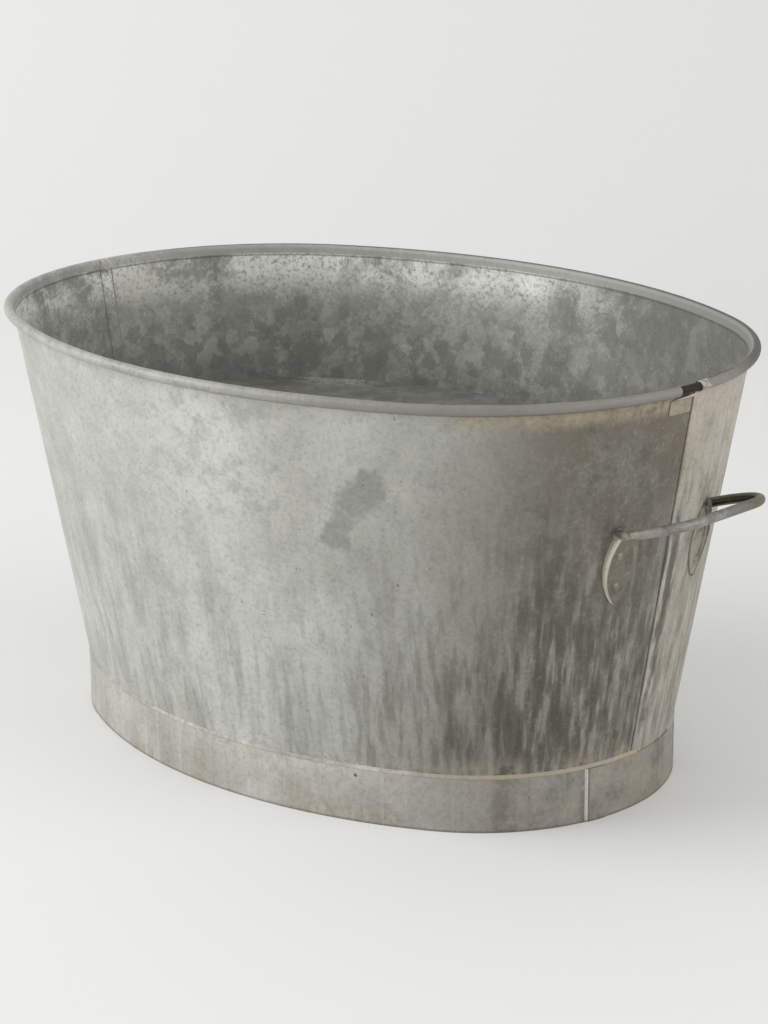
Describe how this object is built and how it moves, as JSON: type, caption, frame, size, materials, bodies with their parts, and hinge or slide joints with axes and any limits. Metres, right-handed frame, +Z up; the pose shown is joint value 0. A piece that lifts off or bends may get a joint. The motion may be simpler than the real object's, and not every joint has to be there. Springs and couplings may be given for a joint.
{
  "type": "oval zinc wash tub",
  "caption": "Deep oval laundry tub of lapped zinc sheet with a wired rolled rim, flared wall, raised floor, soldered foot band and riveted end handles.",
  "frame": {"origin": "middle of the level that the foot band stands on", "axes": "+X along the tub, towards the end with the torn rim; +Y across it; +Z up"},
  "size_m": [0.9766, 0.6658, 0.47],
  "materials": {
    "zinc_sheet": "dull weathered zinc coating",
    "floor_zinc": "dull zinc coating with lime marks",
    "rusty_wire": "rusty",
    "solder": "dull cream oxide",
    "handle_iron": "worn zinc coating",
    "rivet_iron": "dull zinc coating"
  },
  "bodies": {
    "root": {"front_wall": "zinc_sheet", "back_wall": "zinc_sheet", "rim_wire": "rusty_wire", "rim_patch": "zinc_sheet", "seam_solder_right": "solder", "seam_solder_left": "solder", "bottom_floor": "floor_zinc", "floor_solder": "solder", "upper_floor": "floor_zinc", "foot_band": "zinc_sheet", "foot_solder": "solder", "handle_right": "handle_iron", "handle_left": "handle_iron", "handle_rivets_right": "rivet_iron", "handle_rivets_left": "rivet_iron", "rivet_washers_right": "rivet_iron", "rivet_washers_left": "rivet_iron"}
  },
  "joints": []
}
